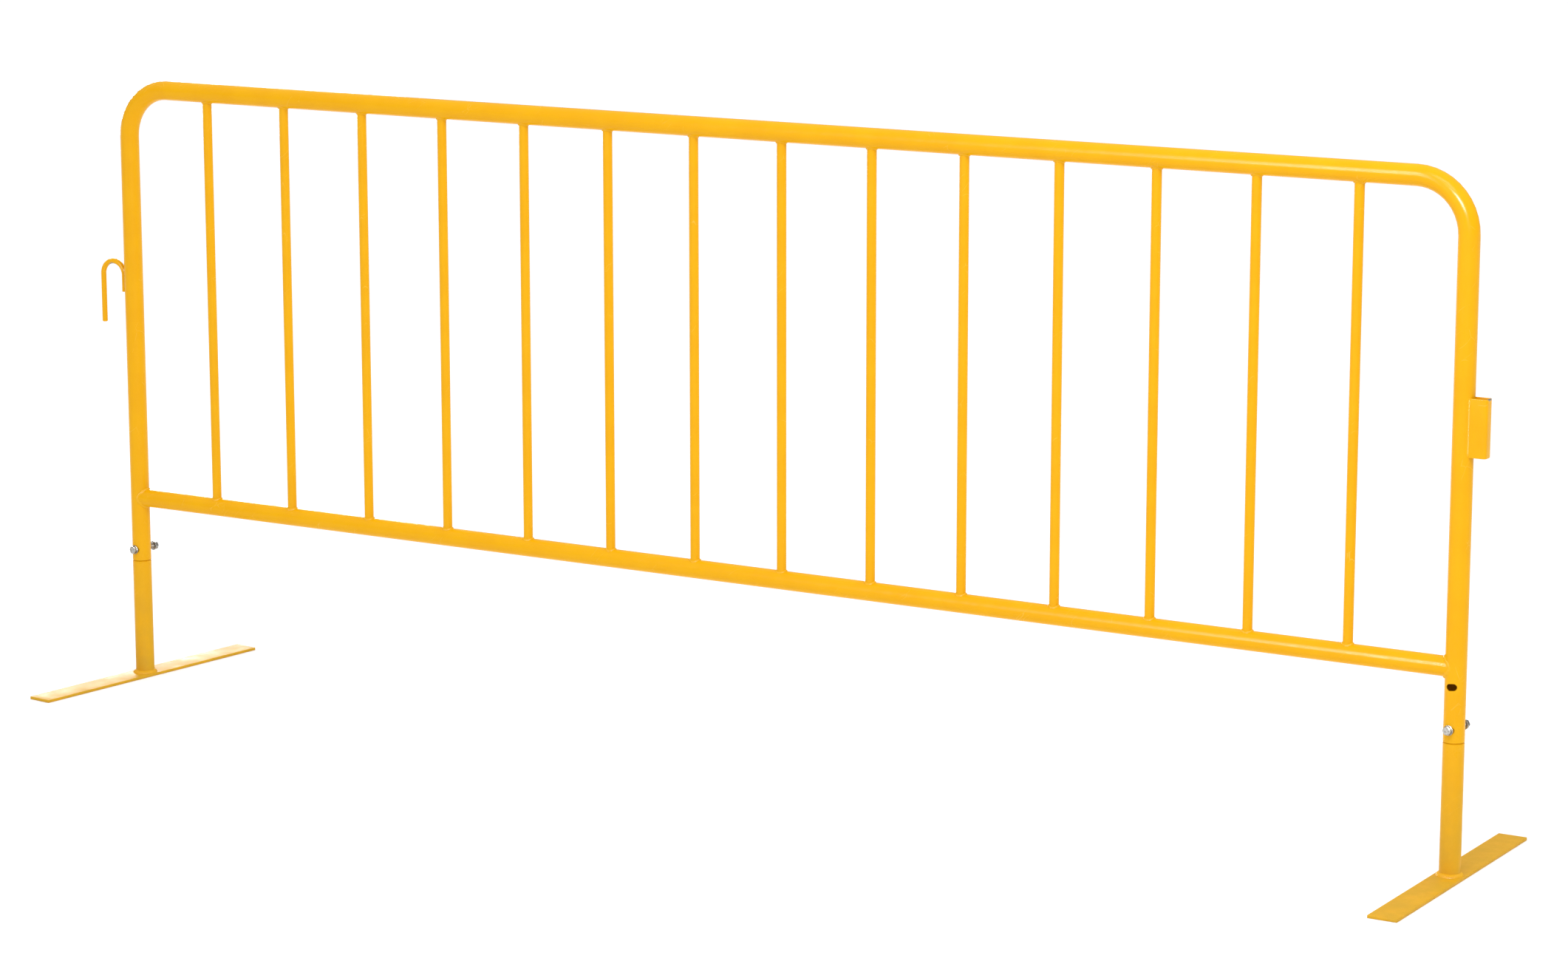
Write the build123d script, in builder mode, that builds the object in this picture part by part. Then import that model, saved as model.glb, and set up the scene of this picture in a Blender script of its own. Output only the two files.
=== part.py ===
from build123d import *
import math
import os

os.makedirs("parts", exist_ok=True)

# A free-standing steel crowd barrier: a bent tube frame with upright infill tubes, standing on two
# flat feet that bolt into the ends of its uprights. It runs along X, stands on Z = 0, and its front
# faces -Y. All sizes are in millimetres, all angles in degrees.

# ---- Driving sizes ----

# Panel
panel_length = 2591.0
panel_height = 1092.0
frame_od = 33.4
frame_wall = 1.6
corner_radius = 86.0
upright_bottom = 216.0
rail_od = 31.8
rail_wall = 1.6
rail_height = 331.0
bar_count = 14
bar_od = 15.9
bar_wall = 1.2

# Feet
plate_length = 520.0
plate_width = 48.0
plate_thickness = 5.0
plate_edge = 0.8
left_foot_turn = -6.8
right_foot_turn = 0.0
foot_swing = 9.0
spigot_wall = 1.6
spigot_length = 69.0
swage_height = 2.0

# Foot bolt: its nut is run on only part way, so that the foot can swing, and the hole through the
# right post is drilled off square to its plate
bolt_diameter = 8.0
bolt_length = 55.0
left_bolt_turn = 0.0
right_bolt_turn = -8.0
nut_slack = 11.0
bolt_above_end = 20.0
bolt_head_height = 5.3
nut_height = 6.5
hex_across_flats = 13.0
hex_edge = 0.8
bolt_tip_edge = 0.9
washer_od = 16.0
washer_thickness = 1.6

# Vent slot in the front of the right upright, turned a little outwards and cut aslant
vent_length = 17.0
vent_width = 11.0
vent_below_rail = 28.0
vent_turn = 13.0
vent_tilt = 20.0

# Coupling hook on the left upright
hook_rod = 9.5
hook_radius = 24.0
hook_bend_height = 737.0
hook_seat_length = 30.0
hook_leg_length = 88.0
hook_tip_edge = 1.2

# Coupling receiver on the right upright
receiver_width = 22.0
receiver_wall = 3.0
receiver_depth = 21.3
receiver_height = 90.0
receiver_rise = 10.0
receiver_bend = 4.0

# Weld beads
infill_bead = 2.2
rail_bead = 3.0
receiver_bead = 2.5
hook_bead = 3.0
foot_bead = 5.0

# Clearances
cope_gap = 0.2
spigot_gap = 0.7
swage_gap = 0.5
bolt_hole_gap = 0.25
slot_gap = 0.3
washer_gap = 0.1
thread_gap = 0.05

# ---- Places that follow from them ----

frame_r = frame_od / 2
frame_bore_r = frame_r - frame_wall
rail_r = rail_od / 2
bar_r = bar_od / 2
hook_r = hook_rod / 2
bolt_r = bolt_diameter / 2
bolt_hole_r = bolt_r + bolt_hole_gap
spigot_r = frame_bore_r - spigot_gap
spigot_top = upright_bottom + spigot_length
bolt_height = upright_bottom + bolt_above_end
vent_height = rail_height - vent_below_rail

hook_inner = frame_r + cope_gap + hook_r
hook_outer = hook_inner + 2 * hook_radius
hook_reach = hook_outer + hook_r
hook_seat_bottom = hook_bend_height - hook_seat_length
hook_tip_height = hook_bend_height - hook_leg_length

receiver_reach = frame_r + receiver_depth + receiver_wall
receiver_face = receiver_reach - receiver_wall / 2
receiver_bottom = hook_bend_height + receiver_rise - receiver_height
receiver_side = (receiver_width - receiver_wall) / 2

# X = 0 is halfway between the outermost points of the hook and the receiver.
panel_middle = (hook_reach - receiver_reach) / 2
left_x = panel_middle - panel_length / 2 + frame_r
right_x = panel_middle + panel_length / 2 - frame_r

top_rail_height = panel_height - frame_r
bar_gap = (right_x - left_x - frame_od - bar_count * bar_od) / (bar_count + 1)
bar_pitch = bar_gap + bar_od
bar_places = [left_x + frame_r + bar_gap + bar_r + i * bar_pitch for i in range(bar_count)]


def upright_axis(x):
    """Plane looking up an upright, with its origin on the floor."""
    return Plane(origin=(x, 0, 0))


def rail_axis(height):
    """Plane across the panel's rails, with its normal along +X."""
    return Plane(origin=(panel_middle, 0, height), x_dir=(0, 1, 0), z_dir=(1, 0, 0))


# ---- Frame ----

# One tube: left upright, top rail and right upright, with the slots that the feet's bolts swing in.
bolt_slot_length = 2 * (frame_r * math.sin(math.radians(foot_swing)) + bolt_r + slot_gap)
with BuildPart() as frame_hoop:
    with BuildLine(Plane.XZ) as hoop_path:
        FilletPolyline(
            (left_x, upright_bottom),
            (left_x, top_rail_height),
            (right_x, top_rail_height),
            (right_x, upright_bottom),
            radius=corner_radius,
        )
    with BuildSketch(Plane(origin=(left_x, 0, upright_bottom))):
        Circle(frame_r)
        Circle(frame_bore_r, mode=Mode.SUBTRACT)
    sweep(path=hoop_path.line)
    with BuildSketch(Plane.XZ.offset(-frame_od)):
        with Locations((left_x, bolt_height), (right_x, bolt_height)):
            SlotOverall(bolt_slot_length, 2 * bolt_hole_r)
    extrude(amount=2 * frame_od, mode=Mode.SUBTRACT)
    vent_face = Plane(origin=(right_x, 0, vent_height), x_dir=(1, 0, 0), z_dir=(0, -1, 0))
    with BuildSketch(vent_face.rotated((0, vent_turn, 0))):
        SlotOverall(vent_length, vent_width, rotation=vent_tilt)
    extrude(amount=frame_od, mode=Mode.SUBTRACT)
frame_hoop.part.label = "frame_hoop"
export_step(frame_hoop.part, "parts/frame_hoop.step")

# Lower rail, its ends coped to the uprights.
with BuildPart() as bottom_rail:
    with BuildSketch(rail_axis(rail_height)):
        Circle(rail_r)
        Circle(rail_r - rail_wall, mode=Mode.SUBTRACT)
    extrude(amount=panel_length / 2 - frame_r, both=True)
    for x in (left_x, right_x):
        with BuildSketch(upright_axis(x)):
            Circle(frame_r + cope_gap)
        extrude(amount=panel_height, mode=Mode.SUBTRACT)
bottom_rail.part.label = "bottom_rail"
export_step(bottom_rail.part, "parts/bottom_rail.step")

# Infill tubes, each coped to the lower rail and to the top rail.
for number, bar_x in enumerate(bar_places, start=1):
    with BuildPart() as infill_bar:
        with BuildSketch(Plane(origin=(bar_x, 0, rail_height))):
            Circle(bar_r)
            Circle(bar_r - bar_wall, mode=Mode.SUBTRACT)
        extrude(amount=top_rail_height - rail_height)
        for height, radius in ((rail_height, rail_r), (top_rail_height, frame_r)):
            with BuildSketch(rail_axis(height)):
                Circle(radius + cope_gap)
            extrude(amount=panel_length / 2, both=True, mode=Mode.SUBTRACT)
    infill_bar.part.label = f"infill_bar_{number:02d}"
    export_step(infill_bar.part, f"parts/infill_bar_{number:02d}.step")


# ---- Weld beads of the panel ----


def build_infill_welds(height, rail_radius, direction):
    """One bead around every infill tube where it meets a rail; direction is +1 above the rail."""
    with BuildPart() as beads:
        with BuildSketch(Plane.XY.offset(height)):
            with Locations(*[(x, 0) for x in bar_places]):
                Circle(bar_r + infill_bead)
        extrude(amount=direction * (rail_radius + infill_bead))
        with BuildSketch(rail_axis(height)):
            Circle(rail_radius + infill_bead)
        extrude(amount=panel_length / 2, both=True, mode=Mode.INTERSECT)
        with BuildSketch(rail_axis(height)):
            Circle(rail_radius)
        extrude(amount=panel_length / 2, both=True, mode=Mode.SUBTRACT)
        with BuildSketch(Plane.XY.offset(height)):
            with Locations(*[(x, 0) for x in bar_places]):
                Circle(bar_r)
        extrude(amount=direction * rail_od, mode=Mode.SUBTRACT)
    return beads


infill_welds_top = build_infill_welds(top_rail_height, frame_r, -1)
infill_welds_top.part.label = "infill_welds_top"
export_step(infill_welds_top.part, "parts/infill_welds_top.step")

infill_welds_bottom = build_infill_welds(rail_height, rail_r, 1)
infill_welds_bottom.part.label = "infill_welds_bottom"
export_step(infill_welds_bottom.part, "parts/infill_welds_bottom.step")

# Beads around both ends of the lower rail.
with BuildPart() as rail_welds:
    for x in (left_x, right_x):
        with BuildSketch(upright_axis(x).offset(rail_height - rail_od)):
            Circle(frame_r + rail_bead)
            Circle(frame_r, mode=Mode.SUBTRACT)
        extrude(amount=2 * rail_od)
    with BuildSketch(rail_axis(rail_height)):
        Circle(rail_r + rail_bead)
    extrude(amount=panel_length / 2 - frame_r, both=True, mode=Mode.INTERSECT)
    with BuildSketch(rail_axis(rail_height)):
        Circle(rail_r)
    extrude(amount=panel_length / 2, both=True, mode=Mode.SUBTRACT)
rail_welds.part.label = "rail_welds"
export_step(rail_welds.part, "parts/rail_welds.step")


# ---- Coupling ----

# Hook: a bent rod whose short leg lies along the left upright and whose long leg hangs free.
with BuildPart() as hook:
    with BuildLine(Plane.XZ) as hook_path:
        Line((left_x - hook_inner, hook_seat_bottom), (left_x - hook_inner, hook_bend_height))
        CenterArc((left_x - hook_inner - hook_radius, hook_bend_height), hook_radius, 0, 180)
        Line((left_x - hook_outer, hook_bend_height), (left_x - hook_outer, hook_tip_height))
    with BuildSketch(Plane(origin=(left_x - hook_inner, 0, hook_seat_bottom))):
        Circle(hook_r)
    sweep(path=hook_path.line)
    chamfer(hook.edges().filter_by(GeomType.CIRCLE).group_by(Axis.Z)[0], length=hook_tip_edge)
hook.part.label = "hook"
export_step(hook.part, "parts/hook.step")

# Receiver: a channel of bent strip, open above and below, that the next barrier's hook drops into.
with BuildPart() as receiver:
    with BuildSketch(upright_axis(right_x).offset(receiver_bottom)):
        with BuildLine():
            FilletPolyline(
                (0, receiver_side),
                (receiver_face, receiver_side),
                (receiver_face, -receiver_side),
                (0, -receiver_side),
                radius=receiver_bend,
            )
        trace(line_width=receiver_wall)
        Circle(frame_r + cope_gap, mode=Mode.SUBTRACT)
    extrude(amount=receiver_height)
receiver.part.label = "receiver"
export_step(receiver.part, "parts/receiver.step")

# Bead on both sides of the seam between the hook's short leg and the upright.
with BuildPart() as hook_weld:
    with BuildSketch(upright_axis(left_x).offset(hook_seat_bottom)):
        with Locations((-frame_r, 0)):
            Rectangle(hook_rod, 2 * hook_bead)
        Circle(frame_r, mode=Mode.SUBTRACT)
        with Locations((-hook_inner, 0)):
            Circle(hook_r, mode=Mode.SUBTRACT)
    extrude(amount=hook_seat_length)
hook_weld.part.label = "hook_weld"
export_step(hook_weld.part, "parts/hook_weld.step")

# Beads down the outside of the receiver's two cheeks.
with BuildPart() as receiver_welds:
    with BuildSketch(upright_axis(right_x).offset(receiver_bottom)):
        with Locations(
            (frame_r / 2, (receiver_width + receiver_bead) / 2),
            (frame_r / 2, -(receiver_width + receiver_bead) / 2),
        ):
            Rectangle(frame_od, receiver_bead)
        Circle(frame_r + receiver_bead, mode=Mode.INTERSECT)
        Circle(frame_r, mode=Mode.SUBTRACT)
        with Locations((-frame_r, 0)):
            Rectangle(frame_od, frame_od, mode=Mode.SUBTRACT)
    extrude(amount=receiver_height)
receiver_welds.part.label = "receiver_welds"
export_step(receiver_welds.part, "parts/receiver_welds.step")

# ---- Feet ----

bolt_seat = frame_r + washer_gap + washer_thickness
nut_seat = bolt_seat + nut_slack
shoulder_height = upright_bottom - swage_gap - swage_height
for side, x, foot_turn, bolt_turn in (
    ("left", left_x, left_foot_turn, left_bolt_turn),
    ("right", right_x, right_foot_turn, right_bolt_turn),
):
    foot_axis = upright_axis(x).rotated((0, 0, foot_turn))
    foot_front = Plane(origin=(x, 0, 0), x_dir=foot_axis.x_dir, z_dir=-foot_axis.y_dir)
    # The bolt's plane looks along the bolt: its normal is the way the head faces.
    bolt_side = upright_axis(x).rotated((0, 0, foot_turn + bolt_turn))
    bolt_axis = Plane(
        origin=(x, 0, bolt_height), x_dir=bolt_side.x_dir, z_dir=-bolt_side.y_dir
    )

    # Flat bar that lies on the ground, across the panel.
    with BuildPart() as foot_plate:
        with BuildSketch(foot_axis):
            Rectangle(plate_width, plate_length)
        extrude(amount=plate_thickness)
        chamfer(foot_plate.edges(), length=plate_edge)
    foot_plate.part.label = f"{side}_foot_plate"
    export_step(foot_plate.part, f"parts/{side}_foot_plate.step")

    # Stub tube, its upper end swaged down to a spigot that goes up inside the upright.
    with BuildPart() as foot_post:
        with BuildSketch(foot_front):
            with BuildLine():
                Polyline(
                    (frame_r, plate_thickness),
                    (frame_r, shoulder_height),
                    (spigot_r, shoulder_height + swage_height),
                    (spigot_r, spigot_top),
                    (spigot_r - spigot_wall, spigot_top),
                    (spigot_r - spigot_wall, shoulder_height + swage_height),
                    (frame_r - spigot_wall, shoulder_height),
                    (frame_r - spigot_wall, plate_thickness),
                    close=True,
                )
            make_face()
        revolve(axis=Axis((x, 0, 0), (0, 0, 1)))
        with BuildSketch(bolt_axis.offset(-frame_od)):
            Circle(bolt_hole_r)
        extrude(amount=2 * frame_od, mode=Mode.SUBTRACT)
    foot_post.part.label = f"{side}_foot_post"
    export_step(foot_post.part, f"parts/{side}_foot_post.step")

    # Fillet weld around the foot of the stub tube.
    with BuildPart() as foot_weld:
        with BuildSketch(foot_front):
            with BuildLine():
                Polyline(
                    (frame_r, plate_thickness),
                    (frame_r + foot_bead, plate_thickness),
                    (frame_r, plate_thickness + foot_bead),
                    close=True,
                )
            make_face()
        revolve(axis=Axis((x, 0, 0), (0, 0, 1)))
    foot_weld.part.label = f"{side}_foot_weld"
    export_step(foot_weld.part, f"parts/{side}_foot_weld.step")

    # Hexagon bolt through the upright and the spigot.
    with BuildPart() as foot_bolt:
        with BuildSketch(bolt_axis.offset(bolt_seat)):
            RegularPolygon(hex_across_flats / 2, 6, major_radius=False)
        extrude(amount=bolt_head_height)
        chamfer(
            foot_bolt.faces().sort_by(Axis((x, 0, 0), bolt_axis.z_dir))[-1].edges(),
            length=hex_edge,
        )
        with BuildSketch(bolt_axis.offset(bolt_seat)):
            Circle(bolt_r)
        extrude(amount=-bolt_length)
        chamfer(
            foot_bolt.faces().sort_by(Axis((x, 0, 0), bolt_axis.z_dir))[0].edges(),
            length=bolt_tip_edge,
        )
    foot_bolt.part.label = f"{side}_foot_bolt"
    export_step(foot_bolt.part, f"parts/{side}_foot_bolt.step")

    # Its nut, at the back.
    with BuildPart() as foot_nut:
        with BuildSketch(bolt_axis.offset(-nut_seat)):
            RegularPolygon(hex_across_flats / 2, 6, major_radius=False)
        extrude(amount=-nut_height)
        chamfer(
            foot_nut.faces().sort_by(Axis((x, 0, 0), bolt_axis.z_dir))[0].edges(),
            length=hex_edge,
        )
        with BuildSketch(bolt_axis.offset(-nut_seat)):
            Circle(bolt_r + thread_gap)
        extrude(amount=-nut_height, mode=Mode.SUBTRACT)
    foot_nut.part.label = f"{side}_foot_nut"
    export_step(foot_nut.part, f"parts/{side}_foot_nut.step")

    # The washers under the bolt's head and the nut.
    with BuildPart() as foot_washers:
        for offset_out in (bolt_seat - washer_thickness, -nut_seat):
            with BuildSketch(bolt_axis.offset(offset_out)):
                Circle(washer_od / 2)
                Circle(bolt_hole_r, mode=Mode.SUBTRACT)
            extrude(amount=washer_thickness)
    foot_washers.part.label = f"{side}_foot_washers"
    export_step(foot_washers.part, f"parts/{side}_foot_washers.step")
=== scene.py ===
import math

import bpy
import numpy as np
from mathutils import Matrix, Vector


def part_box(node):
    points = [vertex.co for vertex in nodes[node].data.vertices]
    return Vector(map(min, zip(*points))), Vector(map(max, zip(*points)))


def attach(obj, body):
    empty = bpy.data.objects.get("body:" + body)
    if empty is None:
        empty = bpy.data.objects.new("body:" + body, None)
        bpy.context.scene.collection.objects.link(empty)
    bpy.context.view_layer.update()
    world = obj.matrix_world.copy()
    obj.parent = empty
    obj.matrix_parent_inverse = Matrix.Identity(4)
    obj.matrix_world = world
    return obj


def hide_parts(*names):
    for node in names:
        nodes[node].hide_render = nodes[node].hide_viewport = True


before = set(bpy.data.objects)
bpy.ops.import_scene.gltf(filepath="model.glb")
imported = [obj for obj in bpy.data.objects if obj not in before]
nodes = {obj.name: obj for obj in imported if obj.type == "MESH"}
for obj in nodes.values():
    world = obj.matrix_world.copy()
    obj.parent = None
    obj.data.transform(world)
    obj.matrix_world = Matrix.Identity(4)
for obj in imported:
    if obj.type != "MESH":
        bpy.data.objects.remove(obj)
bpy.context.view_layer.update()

# ---- Frame hoop ----
# One welded steel tube bent into both uprights and the top rail, blasted clean, sprayed with
# polyester powder and baked. The skin is glossy and safety yellow, with a fine orange peel.

safety_yellow = (0.800, 0.400, 0.0024)
deep_yellow = (0.760, 0.352, 0.0020)
pale_scratch = (0.860, 0.560, 0.110)
# Darkened yellow for dust near the floor. It is also painted shade that makes the lower parts darker.
road_film_and_shade = (0.500, 0.300, 0.022)
bare_steel = (0.330, 0.300, 0.260)


def node_group(name, inputs, outputs):
    """An empty shader group with its named sockets, each (label, kind, value), and its two end nodes."""
    group = bpy.data.node_groups.new(name, "ShaderNodeTree")
    for direction, sockets in (("INPUT", inputs), ("OUTPUT", outputs)):
        for label, kind, value in sockets:
            socket = group.interface.new_socket(label, in_out=direction, socket_type=kind)
            if value is not None:
                socket.default_value = value
    return group, group.nodes.new("NodeGroupInput"), group.nodes.new("NodeGroupOutput")


def add(tree, kind, settings=None, values=None, links=None):
    """One node of a tree, with its settings, the values of its sockets and what feeds them."""
    made = tree.nodes.new(kind)
    for key, value in (settings or {}).items():
        setattr(made, key, value)
    for key, value in (values or {}).items():
        made.inputs[key].default_value = value
    for key, source in (links or {}).items():
        tree.links.new(source, made.inputs[key])
    return made


def mix_colour(tree, factor, first, second):
    """Colour between two sockets or fixed colours, by a mask from 0 to 1."""
    made = add(tree, "ShaderNodeMix", {"data_type": "RGBA"}, links={0: factor})
    for index, colour in ((6, first), (7, second)):
        if isinstance(colour, tuple):
            made.inputs[index].default_value = (*colour, 1.0)
        else:
            tree.links.new(colour, made.inputs[index])
    return made.outputs[2]


def mix_value(tree, factor, first, second):
    """Number between two sockets or fixed numbers, by a mask from 0 to 1."""
    made = add(tree, "ShaderNodeMix", {"data_type": "FLOAT"}, links={0: factor})
    for index, value in ((2, first), (3, second)):
        if isinstance(value, float):
            made.inputs[index].default_value = value
        else:
            tree.links.new(value, made.inputs[index])
    return made.outputs[0]


def threshold(tree, value, low, high):
    """Mask that rises smoothly from 0 to 1 as a value goes from low to high."""
    return add(
        tree, "ShaderNodeMapRange", {"interpolation_type": "SMOOTHSTEP"},
        {"From Min": low, "From Max": high}, {"Value": value},
    ).outputs["Result"]


def fade_out(tree, value, reach):
    """Mask that falls smoothly from 1 where a value is zero to 0 where it comes to the reach."""
    return add(
        tree, "ShaderNodeMapRange", {"interpolation_type": "SMOOTHSTEP"}, {"To Min": 1.0, "To Max": 0.0},
        {"Value": value, "From Max": reach},
    ).outputs["Result"]


def times(tree, first, second):
    """Product of two sockets, or of a socket and a fixed number."""
    made = add(tree, "ShaderNodeMath", {"operation": "MULTIPLY"}, links={0: first})
    if isinstance(second, float):
        made.inputs[1].default_value = second
    else:
        tree.links.new(second, made.inputs[1])
    return made.outputs[0]


def build_orange_peel():
    """Height of a sprayed skin: broad ripples a few millimetres long, and a finer grain on them."""
    group, start, end = node_group(
        "Orange peel",
        [("Ripple Scale", "NodeSocketFloat", 330.0), ("Grain Scale", "NodeSocketFloat", 1500.0)],
        [("Height", "NodeSocketFloat", None)],
    )
    place = add(group, "ShaderNodeTexCoord").outputs["Object"]
    ripple = add(
        group, "ShaderNodeTexNoise", values={"Detail": 1.0, "Roughness": 0.4},
        links={"Vector": place, "Scale": start.outputs["Ripple Scale"]},
    )
    grain = add(
        group, "ShaderNodeTexNoise", values={"Detail": 2.0, "Roughness": 0.5},
        links={"Vector": place, "Scale": start.outputs["Grain Scale"]},
    )
    height = add(
        group, "ShaderNodeMath", {"operation": "MULTIPLY_ADD"}, {1: 0.25},
        {0: grain.outputs["Fac"], 2: ripple.outputs["Fac"]},
    )
    group.links.new(height.outputs[0], end.inputs["Height"])
    return group


def build_film_build():
    """Where the powder lies thick or thin: clouds some 60 mm across, and finer ones inside them."""
    group, start, end = node_group(
        "Film build",
        [("Cloud Scale", "NodeSocketFloat", 16.0)],
        [("Thin", "NodeSocketFloat", None), ("Haze", "NodeSocketFloat", None)],
    )
    place = add(group, "ShaderNodeTexCoord").outputs["Object"]
    clouds = add(
        group, "ShaderNodeTexNoise", values={"Detail": 4.0, "Roughness": 0.55},
        links={"Vector": place, "Scale": start.outputs["Cloud Scale"]},
    )
    haze = add(
        group, "ShaderNodeTexNoise", values={"Scale": 95.0, "Detail": 3.0, "Roughness": 0.6},
        links={"Vector": place},
    )
    group.links.new(threshold(group, clouds.outputs["Fac"], 0.35, 0.68), end.inputs["Thin"])
    group.links.new(threshold(group, haze.outputs["Fac"], 0.30, 0.72), end.inputs["Haze"])
    return group


def build_hairlines():
    """Stray hairline scratches: the edges of long thin cells, slightly bent, kept where a noise is
    high, which leaves short lines that lean one way."""
    group, start, end = node_group(
        "Hairline scratches",
        [("Cell Scale", "NodeSocketFloat", 52.0), ("Width", "NodeSocketFloat", 0.011)],
        [("Mask", "NodeSocketFloat", None)],
    )
    place = add(group, "ShaderNodeTexCoord").outputs["Object"]
    leaning = add(
        group, "ShaderNodeMapping", {"vector_type": "TEXTURE"},
        {"Rotation": (0.6, 0.5, 0.9), "Scale": (1.0, 1.0, 11.0)}, {"Vector": place},
    )
    bend = add(group, "ShaderNodeTexNoise", values={"Scale": 9.0, "Detail": 1.0}, links={"Vector": place})
    shifted = add(
        group, "ShaderNodeVectorMath", {"operation": "MULTIPLY_ADD"}, {1: (0.03, 0.03, 0.03)},
        {0: bend.outputs["Color"], 2: leaning.outputs[0]},
    )
    cells = add(
        group, "ShaderNodeTexVoronoi", {"feature": "DISTANCE_TO_EDGE"}, {"Randomness": 1.0},
        {"Vector": shifted.outputs[0], "Scale": start.outputs["Cell Scale"]},
    )
    line = add(
        group, "ShaderNodeMapRange", values={"From Min": 0.0, "To Min": 1.0, "To Max": 0.0},
        links={"Value": cells.outputs["Distance"], "From Max": start.outputs["Width"]},
    )
    patch = add(group, "ShaderNodeTexNoise", values={"Scale": 26.0, "Detail": 2.0}, links={"Vector": place})
    sparse = threshold(group, patch.outputs["Fac"], 0.58, 0.66)
    group.links.new(times(group, line.outputs["Result"], sparse), end.inputs["Mask"])
    return group


def build_floor_dust_and_shade():
    """Dust and splashes that rise from the floor, a darker colour that is also painted shade on the lower
    parts: full at the floor, gone at Height, broken up by noise.
    """
    group, start, end = node_group(
        "Floor dust and shade",
        [("Height", "NodeSocketFloat", 0.30), ("Speck Scale", "NodeSocketFloat", 22.0)],
        [("Mask", "NodeSocketFloat", None)],
    )
    place = add(group, "ShaderNodeTexCoord").outputs["Object"]
    level = add(group, "ShaderNodeSeparateXYZ", links={0: place})
    fade = fade_out(group, level.outputs["Z"], start.outputs["Height"])
    specks = add(
        group, "ShaderNodeTexNoise", values={"Detail": 5.0, "Roughness": 0.65},
        links={"Vector": place, "Scale": start.outputs["Speck Scale"]},
    )
    broken = threshold(group, specks.outputs["Fac"], -0.10, 0.75)
    group.links.new(times(group, fade, broken), end.inputs["Mask"])
    return group


orange_peel = build_orange_peel()
film_build = build_film_build()
hairlines = build_hairlines()
floor_dust_and_shade = build_floor_dust_and_shade()


coat_specular = 0.13
thin_share = 0.45
crest_share = 0.18
scratch_share = 0.40
clear_roughness, hazy_roughness = 0.20, 0.27
scratch_roughness = 0.50
dust_roughness = 0.70
steel_roughness = 0.42
steel_metallic = 0.85
peel_depth = 0.0002


def finish(name):
    """A new material, its node tree and its shader."""
    material = bpy.data.materials.new(name)
    material.use_nodes = True
    return material, material.node_tree, material.node_tree.nodes["Principled BSDF"]


def connect(tree, shader, channels, height, strength, depth):
    """Feeds the shader's channels, and its normal from a bump of this height, strength and depth."""
    for channel, source in channels.items():
        tree.links.new(source, shader.inputs[channel])
    bump = add(
        tree, "ShaderNodeBump", values={"Strength": strength, "Distance": depth}, links={"Height": height}
    )
    tree.links.new(bump.outputs["Normal"], shader.inputs["Normal"])


def powder_coat(name, wear=None, relief=None, dust_shade=0.35, peel_strength=0.09):
    """Glossy yellow powder coat. wear(tree) gives a mask of where it is rubbed to the steel, and
    relief(tree) one of where it has pulled thin over a crest."""
    material, tree, shader = finish(name)
    shader.inputs["Specular IOR Level"].default_value = coat_specular
    film = add(tree, "ShaderNodeGroup", {"node_tree": film_build})
    thin = times(tree, film.outputs["Thin"], thin_share)
    colour = mix_colour(tree, thin, safety_yellow, deep_yellow)
    if relief:
        colour = mix_colour(tree, times(tree, relief(tree), crest_share), colour, pale_scratch)
    scratch = add(tree, "ShaderNodeGroup", {"node_tree": hairlines}).outputs["Mask"]
    colour = mix_colour(tree, times(tree, scratch, scratch_share), colour, pale_scratch)
    # Painted shade: this mask darkens everything below its height, partly real dust and partly shade
    # painted into the colour.
    settled_dust_shade = times(tree, add(tree, "ShaderNodeGroup", {"node_tree": floor_dust_and_shade}).outputs["Mask"], dust_shade)
    colour = mix_colour(tree, settled_dust_shade, colour, road_film_and_shade)
    roughness = mix_value(tree, film.outputs["Haze"], clear_roughness, hazy_roughness)
    roughness = mix_value(tree, scratch, roughness, scratch_roughness)
    roughness = mix_value(tree, settled_dust_shade, roughness, dust_roughness)
    if wear:
        rubbed = wear(tree)
        colour = mix_colour(tree, rubbed, colour, bare_steel)
        roughness = mix_value(tree, rubbed, roughness, steel_roughness)
        tree.links.new(times(tree, rubbed, steel_metallic), shader.inputs["Metallic"])
    peel = add(tree, "ShaderNodeGroup", {"node_tree": orange_peel}).outputs["Height"]
    channels = {"Base Color": colour, "Roughness": roughness}
    connect(tree, shader, channels, peel, peel_strength, peel_depth)
    return material


def finish_with(material, *names):
    """Gives every material slot of the named CAD nodes this finish."""
    for name in names:
        for slot in nodes[name].material_slots:
            slot.material = material


frame_coat = powder_coat("Frame powder coat")
finish_with(frame_coat, "frame_hoop")

hoop_low, hoop_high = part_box("frame_hoop")
frame_radius = hoop_high.y
left_axis = hoop_low.x + frame_radius
right_axis = hoop_high.x - frame_radius
top_rail_height = hoop_high.z - frame_radius

# ---- Lower rail and infill tubes ----
# A straight tube between the uprights and fourteen thinner ones between the rails, cut off tube
# stock with coped ends and coated with the frame in one go.

infill_names = [name for name in sorted(nodes) if name.startswith("infill_bar_")]
finish_with(frame_coat, "bottom_rail", *infill_names)

rail_low, rail_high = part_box("bottom_rail")
rail_radius = rail_high.y
rail_height = (rail_low.z + rail_high.z) / 2
infill_boxes = [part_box(name) for name in infill_names]
infill_places = np.array([(low.x + high.x) / 2 for low, high in infill_boxes])
infill_radius = infill_boxes[0][1].y

# ---- Welds round the infill tubes ----
# MIG fillets laid all the way round both ends of each infill tube. Each pause of the wire leaves a
# crescent ripple, and the powder has run together over them.

sink = 0.00012
around_count = 9
fine_ripple = 0.00013
crescent_lag = 1.5
drift_share = 0.5
second_share, second_lag = 0.35, 0.8
hump_share, wave_share = 0.5, 0.35
any_phase = 6.28
crown_share = 0.22
unevenness = 0.05
full_turn = 2 * math.pi
draw = np.random.default_rng(7)


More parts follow.
